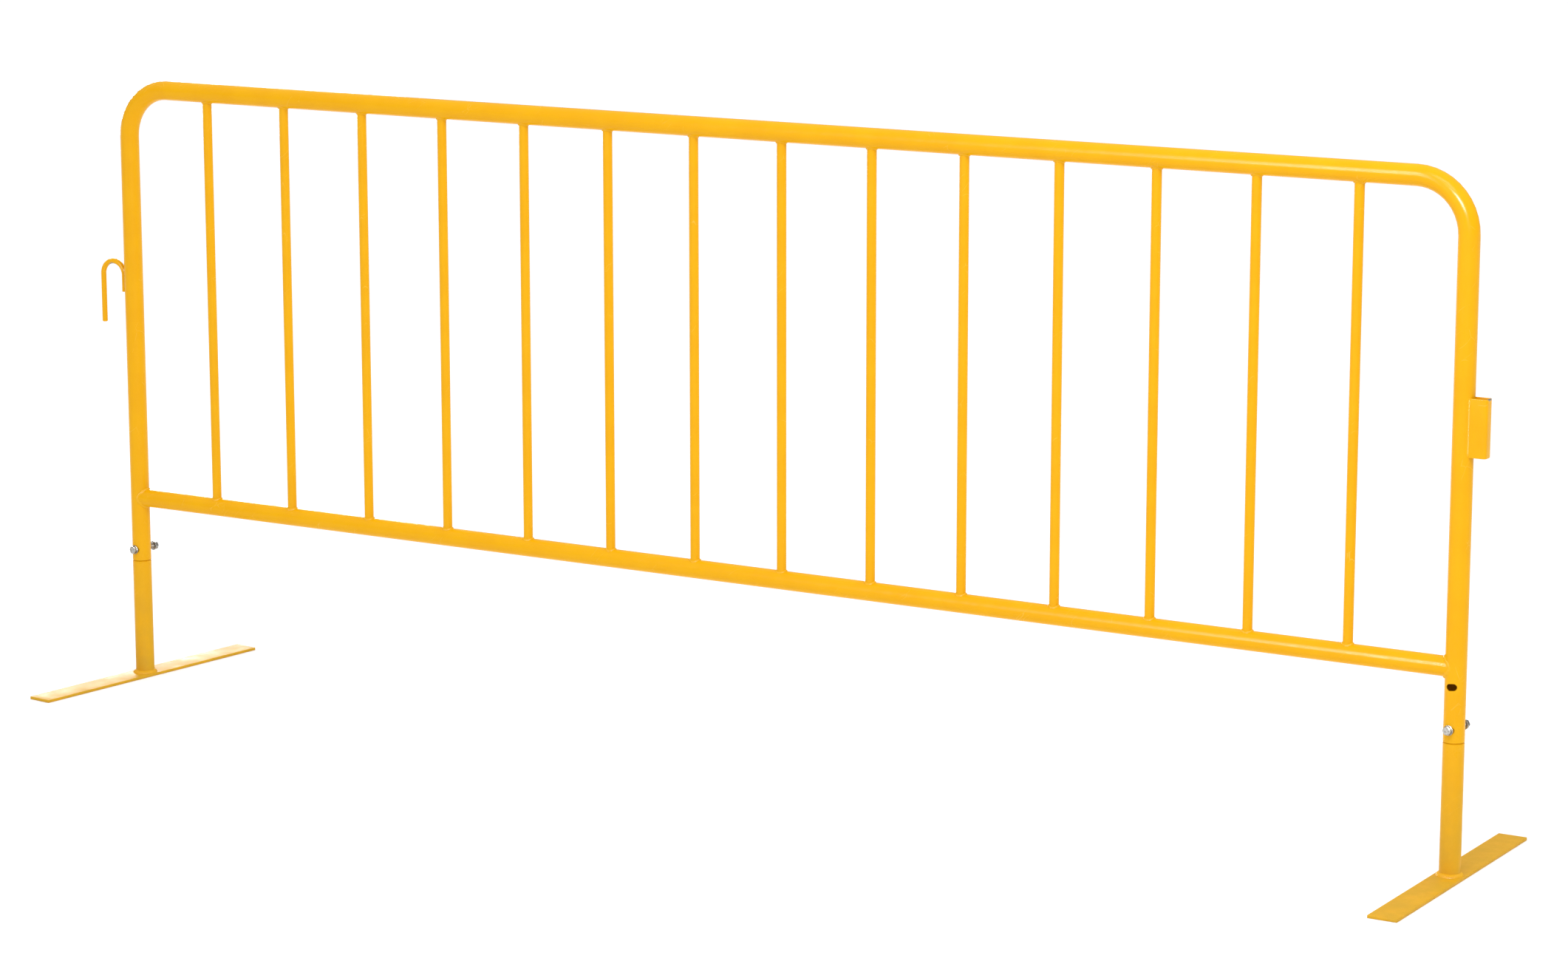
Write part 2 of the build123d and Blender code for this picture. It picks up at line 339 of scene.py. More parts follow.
def skin(name, rings, material, joined, mask_name=None, mask=None, crease=38.0):
    """Closed mesh over points (part, ring, point, axis). Every ring is a closed loop. The last ring
    joins the first, or both end rings close on their middle point. Faces are turned outwards."""
    parts, count, around, _ = rings.shape
    size = count * around
    index = np.arange(size).reshape(count, around)
    here = index if joined else index[:-1]
    beyond = np.roll(index, -1, axis=0) if joined else index[1:]
    quads = np.stack([here, np.roll(here, -1, 1), np.roll(beyond, -1, 1), beyond], -1).reshape(-1, 4)
    points = rings.reshape(parts, size, 3)
    caps = np.zeros((0, 3), int)
    if not joined:
        ends = np.stack([rings[:, 0].mean(axis=1), rings[:, -1].mean(axis=1)], axis=1)
        points = np.concatenate([points, ends], axis=1)
        first, last = index[0], index[-1]
        start_cap = np.stack([np.full(around, size), np.roll(first, -1), first], -1)
        end_cap = np.stack([np.full(around, size + 1), last, np.roll(last, -1)], -1)
        caps = np.concatenate([start_cap, end_cap])
    corners = np.concatenate([quads[:, [0, 1, 2]], quads[:, [0, 2, 3]], caps])
    faces = []
    for part in range(parts):
        one, two, three = (points[part][corners[:, i]] for i in range(3))
        inside_out = np.einsum("ij,ij->", one, np.cross(two, three)) < 0
        step = -1 if inside_out else 1
        shift = part * points.shape[1]
        faces += (quads[:, ::step] + shift).tolist() + (caps[:, ::step] + shift).tolist()
    mesh = bpy.data.meshes.new(name)
    mesh.from_pydata(points.reshape(-1, 3).tolist(), [], faces)
    mesh.shade_smooth()
    mesh.set_sharp_from_angle(angle=math.radians(crease))
    mesh.materials.append(material)
    if mask_name:
        layer = mesh.attributes.new(mask_name, "FLOAT", "POINT")
        values = np.zeros((parts, points.shape[1]), np.float32)
        values[:, :size] = mask.reshape(parts, size)
        layer.data.foreach_set("value", values.reshape(-1))
    piece = bpy.data.objects.new(name, mesh)
    bpy.context.collection.objects.link(piece)
    return piece


def unit(vectors):
    """The same vectors, each one long."""
    return vectors / np.linalg.norm(vectors, axis=-1, keepdims=True)


def bead(root, first_toe, second_toe, pitch, crown, joined, ripple=fine_ripple):
    """Rings of weld beads, from root and toe points (part, ring, axis), and how proud each point is.
    Across, u goes from toe to toe on (1-u)^2 A + 2u(1-u) Q + u^2 B, with Q out beyond their middle.
    Along, ripples rise and fall once each pitch, and lag at the middle of the bead as crescents."""
    middle = (first_toe + second_toe) / 2
    outward = unit(middle - root)
    steps = np.linalg.norm(np.roll(middle, -1, axis=1) - middle, axis=-1)
    if not joined:
        steps[:, -1] = 0.0
    travelled = np.cumsum(steps, axis=1) - steps
    total = steps.sum(axis=1, keepdims=True)
    ripples = np.round(total / pitch)
    phase = full_turn * ripples * travelled / total + draw.uniform(0, any_phase, (len(root), 1))
    if joined:
        drift = draw.uniform(0, any_phase, (len(root), 1))
        phase = phase + drift_share * np.sin(3 * full_turn * travelled / total + drift)
    u = np.linspace(0, 1, around_count)
    hump = 4 * u * (1 - u)
    lagged = phase[..., None] + crescent_lag * hump
    wave = (np.sin(lagged) + second_share * np.sin(2 * lagged + second_lag)) * hump
    over = middle + 2 * crown * outward
    arc = (
        ((1 - u) ** 2)[:, None] * first_toe[:, :, None]
        + (2 * u * (1 - u))[:, None] * over[:, :, None]
        + (u**2)[:, None] * second_toe[:, :, None]
    )
    arc = arc + (ripple * wave)[..., None] * outward[:, :, None]
    rings = np.concatenate([arc, root[:, :, None]], axis=2)
    crest = np.clip(hump_share * hump + wave_share * wave, 0, 1)
    proud = np.concatenate([crest, np.zeros(root.shape[:2])[..., None]], axis=2)
    return rings, proud


def wander(angles, parts, amount):
    """A slow unevenness round each bead, as an unsteady hand leaves it: 1 plus three harmonics."""
    harmonics = np.array([2, 3, 5])[:, None, None]
    turns = draw.uniform(0, any_phase, (3, parts, 1))
    weights = draw.uniform(0.3, 1.0, (3, parts, 1)) * amount
    return 1 + (weights * np.cos(harmonics * angles + turns)).sum(axis=0)


def saddle_bead(tube_radius, run_radius, leg, parts, rows, pitch):
    """Bead round a tube that stands on a larger tube, in axes (up the tube, along the run, across).
    The seam is (sqrt(R^2 - c^2), r cos t, c) with c = r sin t. Each toe lies one leg from the seam,
    measured square to it on the unrolled tube or run."""
    turn = np.linspace(0, full_turn, rows, endpoint=False)[None, :].repeat(parts, axis=0)
    across = tube_radius * np.sin(turn)
    up = np.sqrt(run_radius**2 - across**2)
    tube_leg = leg * wander(turn, parts, unevenness)
    run_leg = leg * wander(turn, parts, unevenness)
    slope = -(tube_radius**2) * np.sin(turn) * np.cos(turn) / up
    slant = np.hypot(slope, tube_radius)
    tube_turn = turn - tube_leg * slope / slant / tube_radius
    inner = tube_radius - sink
    first_toe = np.stack(
        [up + tube_leg * tube_radius / slant, inner * np.cos(tube_turn), inner * np.sin(tube_turn)], -1
    )
    forward = run_radius * tube_radius * np.cos(turn) / up
    span = np.hypot(across, forward)
    run_turn = np.arcsin(across / run_radius) + run_leg * across / span / run_radius
    run_reach = tube_radius * np.cos(turn) + run_leg * forward / span
    lower = run_radius - sink
    second_toe = np.stack([lower * np.cos(run_turn), run_reach, lower * np.sin(run_turn)], -1)
    root = np.stack([up - sink, inner * np.cos(turn), inner * np.sin(turn)], -1)
    return bead(root, first_toe, second_toe, pitch, crown_share * leg, True)


def worn_crests(tree):
    """Mask of the ripples' tops, where a bead's powder is thinnest."""
    return add(tree, "ShaderNodeAttribute", {"attribute_name": "proud"}).outputs["Fac"]


bead_coat = powder_coat("Weld powder coat", relief=worn_crests, peel_strength=0.07)
infill_rows = 196
infill_pitch = 0.0018
for name, height, run_radius, way in (
    ("infill_welds_top", top_rail_height, frame_radius, -1.0),
    ("infill_welds_bottom", rail_height, rail_radius, 1.0),
):
    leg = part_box(name)[1].y - infill_radius
    local, proud = saddle_bead(
        infill_radius, run_radius, leg, len(infill_places), infill_rows, infill_pitch
    )
    rings = np.empty_like(local)
    rings[..., 0] = local[..., 1] + infill_places[:, None, None]
    rings[..., 1] = local[..., 2]
    rings[..., 2] = height + way * local[..., 0]
    piece = skin("beads_" + name, rings, bead_coat, True, "proud", proud)
    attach(piece, "panel")
    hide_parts(name)

# ---- Welds at the ends of the lower rail ----
# Heavier fillets all round, where the rail meets an upright of nearly its own size. The seam
# wraps far round the upright.

rail_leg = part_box("rail_welds")[1].y - rail_radius
rail_rows = 360
rail_pitch = 0.0023
local, proud = saddle_bead(rail_radius, frame_radius, rail_leg, 2, rail_rows, rail_pitch)
inwards = np.array([1.0, -1.0])[:, None, None]
rings = np.empty_like(local)
rings[..., 0] = np.array([left_axis, right_axis])[:, None, None] + inwards * local[..., 0]
rings[..., 1] = local[..., 2]
rings[..., 2] = rail_height + local[..., 1]
piece = skin("beads_rail", rings, bead_coat, True, "proud", proud)
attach(piece, "panel")
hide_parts("rail_welds")

# ---- Coupling hook ----
# Round bar bent cold over a former, its short leg welded down the left upright. The powder is
# rubbed off inside the bend, where the next barrier's receiver hangs on it.

hook_low, hook_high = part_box("hook")
hook_radius = hook_high.y
rub_drop = 2.4 * hook_radius
hook_bend_middle = Vector(((hook_low.x + hook_high.x) / 2, 0.0, hook_high.z - rub_drop))


def build_rub_mark():
    """Bare patch round a point, its edge and its inside broken up by scratches."""
    group, start, end = node_group(
        "Rub mark",
        [
            ("Centre", "NodeSocketVector", (0.0, 0.0, 0.0)),
            ("Stretch", "NodeSocketVector", (1.0, 1.0, 1.0)),
            ("Reach", "NodeSocketFloat", 0.01),
        ],
        [("Mask", "NodeSocketFloat", None)],
    )
    place = add(group, "ShaderNodeTexCoord").outputs["Object"]
    offset = add(
        group, "ShaderNodeVectorMath", {"operation": "SUBTRACT"},
        links={0: place, 1: start.outputs["Centre"]},
    )
    squeezed = add(
        group, "ShaderNodeVectorMath", {"operation": "MULTIPLY"},
        links={0: offset.outputs[0], 1: start.outputs["Stretch"]},
    )
    distance = add(group, "ShaderNodeVectorMath", {"operation": "LENGTH"}, links={0: squeezed.outputs[0]})
    fade = fade_out(group, distance.outputs["Value"], start.outputs["Reach"])
    rough = add(
        group, "ShaderNodeTexNoise", values={"Scale": 420.0, "Detail": 5.0, "Roughness": 0.7},
        links={"Vector": place},
    )
    broken = add(group, "ShaderNodeMath", {"operation": "ADD"}, links={0: fade, 1: rough.outputs["Fac"]})
    group.links.new(threshold(group, broken.outputs[0], 1.05, 1.20), end.inputs["Mask"])
    return group


rub_mark = build_rub_mark()


def hook_wear(tree):
    """Rubbed inside the top of the bend."""
    return add(
        tree, "ShaderNodeGroup", {"node_tree": rub_mark},
        {"Centre": hook_bend_middle, "Stretch": (1.0, 2.2, 1.0), "Reach": 0.024},
    ).outputs["Mask"]


hook_coat = powder_coat("Hook powder coat", wear=hook_wear)
finish_with(hook_coat, "hook")

# Short fillets down both sides of the seam between the hook's leg and the upright, started and
# stopped on the seam, so they taper at both ends.

hook_weld_low, hook_weld_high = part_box("hook_weld")
seat_axis = hook_high.x - hook_radius
straight_crown = 0.0005
seam_half_gap = 0.0008
hook_weld_rows = 110
hook_weld_taper = 0.003
hook_weld_pitch = 0.0021


def run_down(first, second, root, low, high, rows, taper):
    """Root and toe points of straight upright beads: toes (x, y) carried from low to high, drawn
    in to the root over the taper at both ends, as the root of a distance over it."""
    height = np.linspace(low, high, rows)
    near_end = np.minimum(height - low, high - height)
    fullness = np.sqrt(np.clip(near_end / taper, 0.02, 1.0))[None, :, None]
    toes = []
    for toe in (root, first, second):
        flat = root[:, None] + (toe - root)[:, None] * fullness
        level = np.broadcast_to(height[None, :, None], (*flat.shape[:2], 1))
        toes.append(np.concatenate([flat, level], axis=-1))
    return toes


rod_turn, upright_turn = math.radians(44.0), math.radians(14.5)
sides = np.array([1.0, -1.0])
rod_toe = np.stack(
    [np.full(2, seat_axis + hook_radius * math.cos(rod_turn)), sides * hook_radius * math.sin(rod_turn)], -1
)
upright_toe = np.stack(
    [
        np.full(2, left_axis - (frame_radius - sink) * math.cos(upright_turn)),
        sides * frame_radius * math.sin(upright_turn),
    ],
    -1,
)
seam_root = np.stack([np.full(2, left_axis - frame_radius - sink), sides * seam_half_gap], -1)
root, first, second = run_down(
    rod_toe, upright_toe, seam_root, hook_weld_low.z, hook_weld_high.z, hook_weld_rows, hook_weld_taper
)
rings, proud = bead(root, first, second, hook_weld_pitch, straight_crown, False)
piece = skin("beads_hook", rings, bead_coat, False, "proud", proud)
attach(piece, "panel")
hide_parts("hook_weld")

# ---- Coupling receiver ----
# Flat strip bent into a U and welded to the right upright by its two cheeks, open above and
# below. Its edges are rolled a little round, and the hook has rubbed its upper lip.

receiver_low, receiver_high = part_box("receiver")
receiver_wall = 0.003
receiver_bend = 0.004
receiver_edge = 0.0006
cheek_start = 0.013


def rounded_rectangle(half_width, half_height, radius, per_corner=6):
    """Loop of points (corner by corner): each corner is a quarter circle of the radius about its
    own centre, and the straight sides join them."""
    quarter = np.linspace(0, math.pi / 2, per_corner)
    turn = (np.arange(4)[:, None] * math.pi / 2 + quarter).reshape(-1)
    signs = np.array([(1, 1), (-1, 1), (-1, -1), (1, -1)]).repeat(per_corner, axis=0)
    centres = signs * np.array([half_width - radius, half_height - radius])
    return centres + radius * np.stack([np.cos(turn), np.sin(turn)], -1)


def receiver_rings():
    """Rings (1, ring, point, axis) of the U. Its middle line goes out along one cheek, round two
    quarter bends and back along the other; the strip's section stands across it at every ring."""
    side = (receiver_high.y - receiver_low.y - receiver_wall) / 2
    face = receiver_high.x - receiver_wall / 2
    section = rounded_rectangle(
        receiver_wall / 2, (receiver_high.z - receiver_low.z) / 2, receiver_edge
    )
    cheek = np.linspace(right_axis + cheek_start, face - receiver_bend, 9)
    turn = np.linspace(0, math.pi / 2, 9)[1:]
    corner = np.array([face - receiver_bend, side - receiver_bend])
    bend_across = np.stack([np.sin(turn), np.cos(turn)], -1)
    out = np.stack([cheek, np.full_like(cheek, side)], -1)
    half = np.concatenate([out, corner + receiver_bend * bend_across])
    half_across = np.concatenate([np.tile([0.0, 1.0], (len(out), 1)), bend_across])
    mirror = np.array([1.0, -1.0])
    line = np.concatenate([half, half[::-1] * mirror])
    across = np.concatenate([half_across, half_across[::-1] * mirror])
    flat = line[:, None] + section[None, :, :1] * across[:, None]
    level = (receiver_low.z + receiver_high.z) / 2 + section[None, :, 1:].repeat(len(line), axis=0)
    # The cheeks' ends are coped to the upright.
    for ring in (0, -1):
        flat[ring, :, 0] = right_axis + np.sqrt((frame_radius - sink) ** 2 - flat[ring, :, 1] ** 2)
    return np.concatenate([flat, level], axis=-1)[None]


def receiver_wear(tree):
    """Rubbed along the upper lip, at the middle of the U."""
    return add(
        tree, "ShaderNodeGroup", {"node_tree": rub_mark},
        {
            "Centre": (receiver_high.x, 0.0, receiver_high.z),
            "Stretch": (1.0, 0.7, 2.2),
            "Reach": 0.013,
        },
    ).outputs["Mask"]


receiver_coat = powder_coat("Receiver powder coat", wear=receiver_wear)
piece = skin("receiver_channel", receiver_rings(), receiver_coat, False)
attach(piece, "panel")
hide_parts("receiver")

# Fillets down the outside of both cheeks, over the receiver's whole height.

receiver_leg = 0.0025
receiver_weld_inset = 0.0015
receiver_weld_rows = 300
receiver_weld_taper = 0.0035
receiver_weld_pitch = 0.0022
cheek_turn = math.asin(receiver_high.y / frame_radius)
toe_turn = cheek_turn + receiver_leg / frame_radius
seam_x = right_axis + frame_radius * math.cos(cheek_turn)
cheek_toe = np.stack([np.full(2, seam_x + receiver_leg), sides * (receiver_high.y - sink)], -1)
tube_toe = np.stack(
    [
        np.full(2, right_axis + (frame_radius - sink) * math.cos(toe_turn)),
        sides * (frame_radius - sink) * math.sin(toe_turn),
    ],
    -1,
)
seam_root = np.stack([np.full(2, seam_x - sink), sides * (receiver_high.y - sink)], -1)
root, first, second = run_down(
    cheek_toe,
    tube_toe,
    seam_root,
    receiver_low.z + receiver_weld_inset,
    receiver_high.z - receiver_weld_inset,
    receiver_weld_rows,
    receiver_weld_taper,
)
rings, proud = bead(root, first, second, receiver_weld_pitch, straight_crown, False)
piece = skin("beads_receiver", rings, bead_coat, False, "proud", proud)
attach(piece, "panel")
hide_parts("receiver_welds")

# ---- Foot plates ----
# Lengths of hot-rolled flat bar with rounded mill edges, sheared off and laid across the panel.
# The powder is chipped along their edges by the ground, and dust lies on them; the dust's darkening is also
# painted shade, heavier than on the frame.

foot_turns = {"left": math.radians(-6.8), "right": 0.0}
foot_axes = {"left": left_axis, "right": right_axis}
plate_low, plate_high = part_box("right_foot_plate")
plate_half_width = (plate_high.x - plate_low.x) / 2
plate_half_length = (plate_high.y - plate_low.y) / 2
plate_thickness = plate_high.z
plate_edge = 0.0011
edge_margin = 1.001


def turned(points, side, further=0.0):
    """Points given about a foot's own upright axis, turned with that foot, and by an angle further,
    and carried to it."""
    angle = foot_turns[side] + further
    x = points[..., 0] * math.cos(angle) - points[..., 1] * math.sin(angle) + foot_axes[side]
    y = points[..., 0] * math.sin(angle) + points[..., 1] * math.cos(angle)
    return np.stack([x, y, points[..., 2]], axis=-1)


def plate_rings():
    """Rings (1, ring, point, axis) of a flat bar. The section is a rounded rectangle, and near both
    ends it draws in by e - sqrt(e^2 - (e - d)^2), d from the end, so the ends are rounded too."""
    near = plate_edge * (1 - np.cos(np.linspace(0, math.pi / 2, 6)))
    run = np.linspace(plate_edge, 2 * plate_half_length - plate_edge, 25)[1:-1]
    place = np.concatenate([near, run, (2 * plate_half_length - near)[::-1]]) - plate_half_length
    from_end = plate_half_length - np.abs(place)
    depth = np.clip(plate_edge - from_end, 0, plate_edge)
    inset = plate_edge - np.sqrt(plate_edge**2 - depth**2)
    rings = []
    for shift, drawn_in in zip(place, inset):
        section = rounded_rectangle(
            plate_half_width - drawn_in, plate_thickness / 2 - drawn_in, plate_edge * edge_margin - drawn_in
        )
        rings.append(
            np.stack(
                [section[:, 0], np.full(len(section), shift), plate_thickness / 2 + section[:, 1]], -1
            )
        )
    return np.array(rings)[None]


def build_edge_chips():
    """Chips along the edges of a flat bar, from its own place (across, along, up): the distance in
    from the nearest edge, roughened by noise, and cut off."""
    group, start, end = node_group(
        "Edge chips",
        [
            ("Place", "NodeSocketVector", (0.0, 0.0, 0.0)),
            ("Half Width", "NodeSocketFloat", 0.024),
            ("Half Length", "NodeSocketFloat", 0.26),
        ],
        [("Mask", "NodeSocketFloat", None)],
    )
    absolute = add(
        group, "ShaderNodeVectorMath", {"operation": "ABSOLUTE"}, links={0: start.outputs["Place"]}
    )
    parts = add(group, "ShaderNodeSeparateXYZ", links={0: absolute.outputs[0]})
    beyond = []
    for axis, half in (("X", "Half Width"), ("Y", "Half Length")):
        beyond.append(
            add(
                group, "ShaderNodeMath", {"operation": "SUBTRACT"},
                links={0: parts.outputs[axis], 1: start.outputs[half]},
            ).outputs[0]
        )
    nearest = add(group, "ShaderNodeMath", {"operation": "MAXIMUM"}, links={0: beyond[0], 1: beyond[1]})
    noise = add(
        group, "ShaderNodeTexNoise", values={"Scale": 190.0, "Detail": 5.0, "Roughness": 0.62},
        links={"Vector": start.outputs["Place"]},
    )
    reach = add(
        group, "ShaderNodeMath", {"operation": "MULTIPLY_ADD"}, {1: 0.012, 2: -0.0079},
        {0: noise.outputs["Fac"]},
    )
    total = add(
        group, "ShaderNodeMath", {"operation": "ADD"}, links={0: nearest.outputs[0], 1: reach.outputs[0]}
    )
    group.links.new(threshold(group, total.outputs[0], 0.0006, 0.0010), end.inputs["Mask"])
    return group


edge_chips = build_edge_chips()


def plate_coat(side):
    """The plate's own powder coat, chipped along edges that follow the foot's turn."""

    def chipped(tree):
        """Place in the plate's own axes, and its edge chips."""
        place = add(tree, "ShaderNodeTexCoord").outputs["Object"]
        own = add(
            tree, "ShaderNodeMapping", {"vector_type": "TEXTURE"},
            {
                "Location": (foot_axes[side], 0.0, 0.0),
                "Rotation": (0.0, 0.0, foot_turns[side]),
            },
            {"Vector": place},
        )
        return add(
            tree, "ShaderNodeGroup", {"node_tree": edge_chips},
            {"Half Width": plate_half_width, "Half Length": plate_half_length},
            {"Place": own.outputs[0]},
        ).outputs["Mask"]

    # A share of 0.75 gives the plates heavier dust and heavier painted shade.
    return powder_coat(side + " foot powder coat", wear=chipped, dust_shade=0.75)


for side in ("left", "right"):
    piece = skin(side + "_foot_bar", turned(plate_rings(), side), plate_coat(side), False)
    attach(piece, side + "_foot")
    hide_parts(side + "_foot_plate")

# ---- Foot posts ----
# Stubs of the frame's own tube, swaged down at the top to go up inside the uprights. Each
# stands on its plate in one heavy fillet.

# A share of 0.65 gives the posts heavier dust and heavier painted shade.
post_coat = powder_coat("Post powder coat", dust_shade=0.65)
foot_leg = 0.005
foot_rows = 384
foot_pitch = 0.0027
foot_crown = 0.0007
foot_ripple = 0.0002
foot_unevenness = 0.04
foot_angle = np.linspace(0, full_turn, foot_rows, endpoint=False)
post_reach = (wander(foot_angle[None], 1, foot_unevenness) * foot_leg)[0]
plate_reach = (wander(foot_angle[None], 1, foot_unevenness) * foot_leg)[0]


def ring_at(radius, height):
    """Points (1, ring, axis) round an upright axis, for a radius and a height at each angle."""
    ones = np.ones_like(foot_angle)
    return np.stack(
        [radius * np.cos(foot_angle), radius * np.sin(foot_angle), height * ones], -1
    )[None]


rings, proud = bead(
    ring_at(frame_radius - sink, plate_thickness - sink),
    ring_at(frame_radius - sink, plate_thickness + post_reach),
    ring_at(frame_radius + plate_reach, plate_thickness - sink),
    foot_pitch,
    foot_crown,
    True,
    ripple=foot_ripple,
)
for side in ("left", "right"):
    finish_with(post_coat, side + "_foot_post")
    piece = skin(side + "_foot_bead", turned(rings, side), bead_coat, True, "proud", proud)
    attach(piece, side + "_foot")
    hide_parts(side + "_foot_weld")

# ---- Foot bolts ----
# Zinc-plated M8 hexagon bolts through the upright and the post inside it. Each nut and its
# washer are run on only part way, so that the foot can swing, and the right hole is drilled off
# square. The plating is a satin grey with faint clouds, duller in the thread.

zinc_light = (0.500, 0.495, 0.470)
zinc_dark = (0.260, 0.245, 0.220)
thread_grime = (0.150, 0.140, 0.120)


grime_share = 0.8
light_roughness, dark_roughness = 0.28, 0.42
groove_roughness = 0.62
groove_metallic = 0.55
grain_strength = 0.15
grain_depth = 0.0001


def zinc_plate():
    """Satin zinc plate: cloudy colour and roughness, a fine brushed grain, grime in the roots."""
    material, tree, shader = finish("Zinc plate")
    place = add(tree, "ShaderNodeTexCoord").outputs["Object"]
    clouds = add(
        tree, "ShaderNodeTexNoise", values={"Scale": 260.0, "Detail": 4.0, "Roughness": 0.6},
        links={"Vector": place},
    )
    grain = add(
        tree, "ShaderNodeTexNoise", values={"Scale": 2600.0, "Detail": 2.0}, links={"Vector": place}
    )
    cloudy = threshold(tree, clouds.outputs["Fac"], 0.35, 0.65)
    colour = mix_colour(tree, cloudy, zinc_light, zinc_dark)
    groove = add(tree, "ShaderNodeAttribute", {"attribute_name": "groove"}).outputs["Fac"]
    colour = mix_colour(tree, times(tree, groove, grime_share), colour, thread_grime)
    roughness = mix_value(tree, cloudy, light_roughness, dark_roughness)
    roughness = mix_value(tree, groove, roughness, groove_roughness)
    metal = mix_value(tree, groove, 1.0, groove_metallic)
    channels = {"Base Color": colour, "Roughness": roughness, "Metallic": metal}
    connect(tree, shader, channels, grain.outputs["Fac"], grain_strength, grain_depth)
    return material


zinc = zinc_plate()

washer_thickness = 0.0016
washer_gap = 0.0001
washer_radius = 0.008
washer_bore = 0.00425
washer_edge = 0.0003
bolt_seat = frame_radius + washer_gap + washer_thickness
nut_slack = 0.011
nut_seat = bolt_seat + nut_slack
bolt_height = (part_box("right_foot_bolt")[0].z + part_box("right_foot_bolt")[1].z) / 2
bolt_radius = 0.004
bolt_length = 0.055
bolt_turns = {"left": 0.0, "right": math.radians(-8.0)}
head_height = 0.0053
head_edge = 0.0002
half_flats = 0.0065
corner_share = 0.985
nut_height = 0.0065
nut_bore = 0.00405
bore_mouth = 0.0007
thread_length = 0.022
thread_pitch = 0.00125
thread_depth = 0.000767
thread_rows = 12
run_in_turns = 1.5
tip_chamfer = 0.0009
flat_circle = 0.0061
face_middle = 0.001
cone_slope = math.tan(math.radians(30))
columns = 72
bolt_turn = np.linspace(0, full_turn, columns, endpoint=False)
hexagon = half_flats / np.cos(np.mod(bolt_turn, math.pi / 3) - math.pi / 6)
hexagon = np.minimum(hexagon, corner_share * hexagon.max())
cone = np.linspace(0, (hexagon.max() - flat_circle) * cone_slope, 6)


def turned_rings(along, radii):
    """Rings (1, ring, point, axis) about a foot's bolt axis: along is how far each ring stands out
    in front of the upright's middle, radii (ring, point) how far each point is from the axis."""
    along = np.broadcast_to(along[:, None], radii.shape)
    return np.stack(
        [radii * np.cos(bolt_turn), -along, bolt_height + radii * np.sin(bolt_turn)], -1
    )[None]


def bolt_rings():
    """A hexagon head cut by a 30 degree cone, a plain shank, and a thread whose radius falls from
    the full one by a triangle wave of (distance / pitch - angle / turn), a quarter too tall and
    clipped, so that crests and roots are flat."""
    head_along = np.concatenate([[0.0, 0.0], cone, [head_height - head_edge, head_height, head_height]])
    caps = np.concatenate([[face_middle, 0.9 * flat_circle], flat_circle + cone / cone_slope])
    head = np.minimum(hexagon, caps[:, None])
    head = np.concatenate([head, [hexagon, hexagon * corner_share, np.full(columns, bolt_radius)]])
    shank = np.linspace(0.0, bolt_length - thread_length, 4)[1:]
    shank_radii = np.full((len(shank), columns), bolt_radius)
    thread = np.arange(bolt_length - thread_length, bolt_length, thread_pitch / thread_rows)[1:]
    thread = np.append(thread, bolt_length)
    sawn = np.mod(thread[:, None] / thread_pitch - bolt_turn / full_turn, 1.0)
    crest = np.clip(1.25 * np.abs(2 * sawn - 1) - 0.125, 0, 1)
    run_in = np.clip((thread - thread[0]) / (run_in_turns * thread_pitch), 0, 1)[:, None]
    cut = thread_depth * (1 - crest) * run_in
    nose = bolt_radius - tip_chamfer + (bolt_length - thread)[:, None]
    thread_radii = np.minimum(bolt_radius - cut, nose)
    along = np.concatenate([bolt_seat + head_height - head_along, bolt_seat - shank, bolt_seat - thread])
    radii = np.concatenate([head, shank_radii, thread_radii])
    groove = np.zeros_like(radii)
    groove[-len(thread):] = cut / thread_depth
    return turned_rings(along, radii), groove[None]


def nut_rings():
    """A hexagon cut by a 30 degree cone at both ends, round a bore with opened-out mouths."""
    rows = [(bore_mouth, np.full(columns, nut_bore)), (0.0, np.full(columns, nut_bore + bore_mouth))]
    rows += [(depth, np.minimum(hexagon, flat_circle + depth / cone_slope)) for depth in cone]
    rows += [(nut_height - depth, radii) for depth, radii in reversed(rows)]
    along = -nut_seat - np.array([depth for depth, _ in rows])
    return turned_rings(along, np.array([radii for _, radii in rows]))


def washer_rings():
    """Two flat rings of rounded rectangle section, one under the head and one under the nut."""
    section = rounded_rectangle(
        (washer_radius - washer_bore) / 2, washer_thickness / 2, washer_edge, per_corner=4
    )
    radii = (washer_radius + washer_bore) / 2 + section[:, :1].repeat(columns, axis=1)
    middles = (bolt_seat - washer_thickness / 2, washer_thickness / 2 - nut_seat)
    return np.concatenate([turned_rings(middle + section[:, 1], radii) for middle in middles])


bolt_points, groove = bolt_rings()
nut_points = nut_rings()
washer_points = washer_rings()
for side in ("left", "right"):
    off_square = bolt_turns[side]
    bolt = skin(
        side + "_hex_bolt", turned(bolt_points, side, off_square), zinc, False, "groove", groove
    )
    nut = skin(side + "_hex_nut", turned(nut_points, side, off_square), zinc, True)
    washers = skin(side + "_flat_washers", turned(washer_points, side, off_square), zinc, True)
    for piece, node in ((bolt, "_foot_bolt"), (nut, "_foot_nut"), (washers, "_foot_washers")):
        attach(piece, side + "_foot")
        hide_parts(side + node)

# ---- Studio ----
# A pale floor without an edge under an even sky that dims towards the horizon. A broad lamp
# overhead lights the right end more. A tall strip at the front left, a softbox at the front right
# and a low one behind on the left only draw the highlights of the gloss.

floor_reach = 60.0
floor_colour = (0.92, 0.92, 0.92, 1.0)
floor_roughness = 0.9
floor_specular = 0.1
sky_top = 1.30
sky_horizon = 0.62
sky_in_gloss = 0.45

floor_mesh = bpy.data.meshes.new("floor")
floor_corners = floor_reach * np.array([(-1, -1, 0), (1, -1, 0), (1, 1, 0), (-1, 1, 0)])
floor_mesh.from_pydata(floor_corners.tolist(), [], [(0, 1, 2, 3)])
floor = bpy.data.objects.new("floor", floor_mesh)
bpy.context.collection.objects.link(floor)
floor_paint, _, floor_shader = finish("Floor")
floor_shader.inputs["Base Color"].default_value = floor_colour
floor_shader.inputs["Roughness"].default_value = floor_roughness
floor_shader.inputs["Specular IOR Level"].default_value = floor_specular
floor_mesh.materials.append(floor_paint)

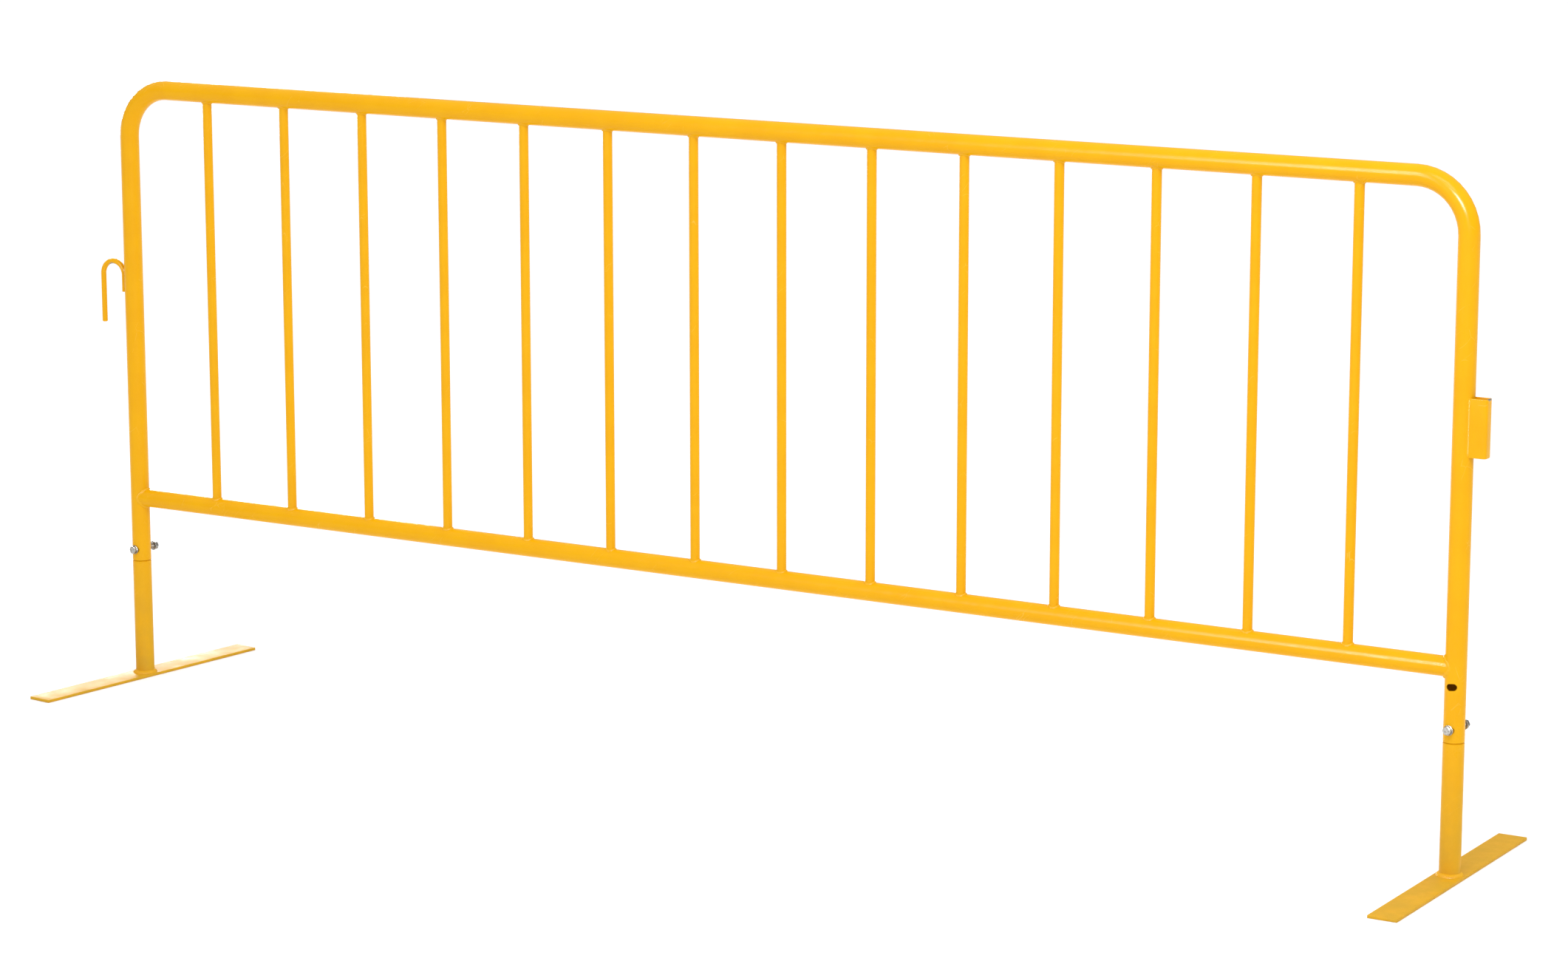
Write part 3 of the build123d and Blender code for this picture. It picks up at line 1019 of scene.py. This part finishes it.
world = bpy.data.worlds.new("Studio")
world.use_nodes = True
bpy.context.scene.world = world
sky = world.node_tree
direction = add(sky, "ShaderNodeTexCoord").outputs["Generated"]
height = add(sky, "ShaderNodeSeparateXYZ", links={0: direction})
strength = mix_value(sky, threshold(sky, height.outputs["Z"], 0.10, 0.75), sky_horizon, sky_top)
gloss = add(sky, "ShaderNodeLightPath").outputs["Is Glossy Ray"]
strength = mix_value(sky, gloss, strength, times(sky, strength, sky_in_gloss))
sky.nodes["Background"].inputs["Color"].default_value = (1, 1, 1, 1)
sky.links.new(strength, sky.nodes["Background"].inputs["Strength"])


def softbox(name, place, aim, width, height, radiance, gloss_only=False):
    """A rectangular lamp at a place, turned towards the point it lights. Its watts are pi times its
    area times how bright its face looks."""
    lamp = bpy.data.lights.new(name, "AREA")
    lamp.shape = "RECTANGLE"
    lamp.size = width
    lamp.size_y = height
    lamp.energy = math.pi * width * height * radiance
    holder = bpy.data.objects.new(name, lamp)
    holder.location = place
    holder.rotation_euler = (Vector(aim) - Vector(place)).to_track_quat("-Z", "Y").to_euler()
    holder.visible_camera = False
    holder.visible_diffuse = not gloss_only
    bpy.context.collection.objects.link(holder)


softbox("overhead softbox", (1.7, -1.6, 3.0), (1.1, 0.0, 0.9), 1.4, 0.9, 9.0)
softbox("front strip lamp", (-2.35, -8.4, 4.1), (1.1, 0.0, 0.7), 0.6, 5.0, 85.0, gloss_only=True)
softbox("side softbox", (2.9, -4.4, 2.8), (1.3, 0.0, 1.0), 1.2, 0.9, 190.0, gloss_only=True)
softbox("rear softbox", (-3.9, 3.1, 0.95), (-1.2, 0.0, 0.1), 1.6, 0.8, 19.0, gloss_only=True)
bpy.context.scene.view_settings.view_transform = "Standard"

# The camera stands to the front right of the barrier and looks a little down on it.
camera_azimuth = math.radians(31.10)
camera_elevation = math.radians(11.07)
camera_distance = 7.027
camera_aim = Vector((0.106, 0.0, 0.497))
camera = bpy.data.cameras.new("camera")
camera.lens = 97.8
camera_holder = bpy.data.objects.new("camera", camera)
outward = Vector(
    (
        math.sin(camera_azimuth) * math.cos(camera_elevation),
        -math.cos(camera_azimuth) * math.cos(camera_elevation),
        math.sin(camera_elevation),
    )
)
camera_holder.location = camera_aim + outward * camera_distance
camera_holder.rotation_euler = (-outward).to_track_quat("-Z", "Y").to_euler()
bpy.context.collection.objects.link(camera_holder)
bpy.context.scene.camera = camera_holder
